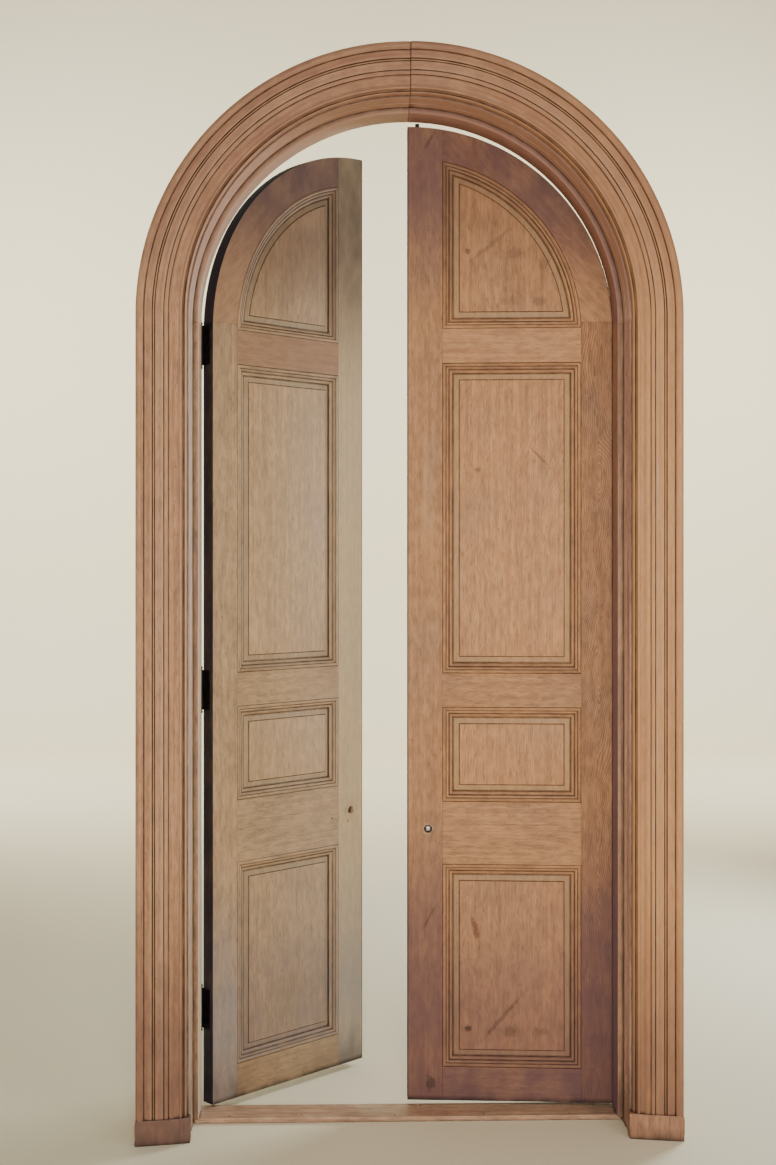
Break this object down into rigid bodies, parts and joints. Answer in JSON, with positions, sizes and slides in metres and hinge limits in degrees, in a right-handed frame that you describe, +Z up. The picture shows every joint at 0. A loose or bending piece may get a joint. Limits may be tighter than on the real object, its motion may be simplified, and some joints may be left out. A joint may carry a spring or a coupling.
{
  "type": "arched wooden door",
  "caption": "Pair of arched panelled wooden door leaves on lift-off hinges in a moulded round-headed frame, with casing, plinth blocks and a wooden threshold.",
  "frame": {"origin": "on the floor in the middle of the doorway, at the middle of the thickness of the shut leaves, on the underside of the threshold", "axes": "+X to the right as seen from the moulded side, +Y through the doorway away from the moulded side, +Z up"},
  "size_m": [1.538, 0.7092, 3.081],
  "materials": {
    "casing_wood": "bare hardwood, stripped, grime left in the grooves",
    "jamb_wood": "bare hardwood, stripped and worn",
    "left_leaf_wood": "bare hardwood, greyed",
    "right_leaf_wood": "bare hardwood, stained and dirty towards the top",
    "threshold_wood": "bare hardwood, trodden, with nail marks",
    "black_iron": "blackened iron"
  },
  "bodies": {
    "frame": {"casing_left": "casing_wood", "casing_right": "casing_wood", "frame_hinge_halves_left": "black_iron", "frame_hinge_halves_right": "black_iron", "hinge_lining_left": "jamb_wood", "hinge_lining_right": "jamb_wood", "jamb_left": "jamb_wood", "jamb_right": "jamb_wood", "plinth_left": "casing_wood", "plinth_right": "casing_wood", "stop_left": "jamb_wood", "stop_right": "jamb_wood", "threshold": "threshold_wood"},
    "left_leaf": {"left_arched_rail": "left_leaf_wood", "left_back_mouldings": "left_leaf_wood", "left_bottom_rail": "left_leaf_wood", "left_frieze_rail": "left_leaf_wood", "left_front_mouldings": "left_leaf_wood", "left_hinge_halves": "black_iron", "left_hinge_stile": "left_leaf_wood", "left_lock_rail": "left_leaf_wood", "left_lower_panel": "left_leaf_wood", "left_meeting_stile": "left_leaf_wood", "left_middle_rail": "left_leaf_wood", "left_small_panel": "left_leaf_wood", "left_tall_panel": "left_leaf_wood", "left_top_panel": "left_leaf_wood"},
    "right_leaf": {"bottom_bolt_plate": "black_iron", "right_arched_rail": "right_leaf_wood", "right_back_mouldings": "right_leaf_wood", "right_bottom_rail": "right_leaf_wood", "right_frieze_rail": "right_leaf_wood", "right_front_mouldings": "right_leaf_wood", "right_hinge_halves": "black_iron", "right_hinge_stile": "right_leaf_wood", "right_lock_rail": "right_leaf_wood", "right_lower_panel": "right_leaf_wood", "right_meeting_stile": "right_leaf_wood", "right_middle_rail": "right_leaf_wood", "right_small_panel": "right_leaf_wood", "right_tall_panel": "right_leaf_wood", "right_top_panel": "right_leaf_wood", "top_bolt_plate": "black_iron"},
    "top_bolt": {"top_bolt_rod": "black_iron"},
    "bottom_bolt": {"bottom_bolt_rod": "black_iron"}
  },
  "joints": [
    {"name": "left_leaf_hinge", "type": "hinge", "parent": "frame", "child": "left_leaf", "pos_m": [-0.6125, 0.0325, 1.244], "axis": [0, 0, 1], "range_deg": [-43, 127]},
    {"name": "right_leaf_hinge", "type": "hinge", "parent": "frame", "child": "right_leaf", "pos_m": [0.6125, 0.0325, 1.244], "axis": [0, 0, -1], "range_deg": [-4.3, 165.7]},
    {"name": "top_bolt_slide", "type": "slide", "parent": "right_leaf", "child": "top_bolt", "axis": [0, 0, 1], "range_m": [-0.014, 0.012]},
    {"name": "bottom_bolt_slide", "type": "slide", "parent": "right_leaf", "child": "bottom_bolt", "axis": [0, 0, -1], "range_m": [0, 0.017]}
  ]
}
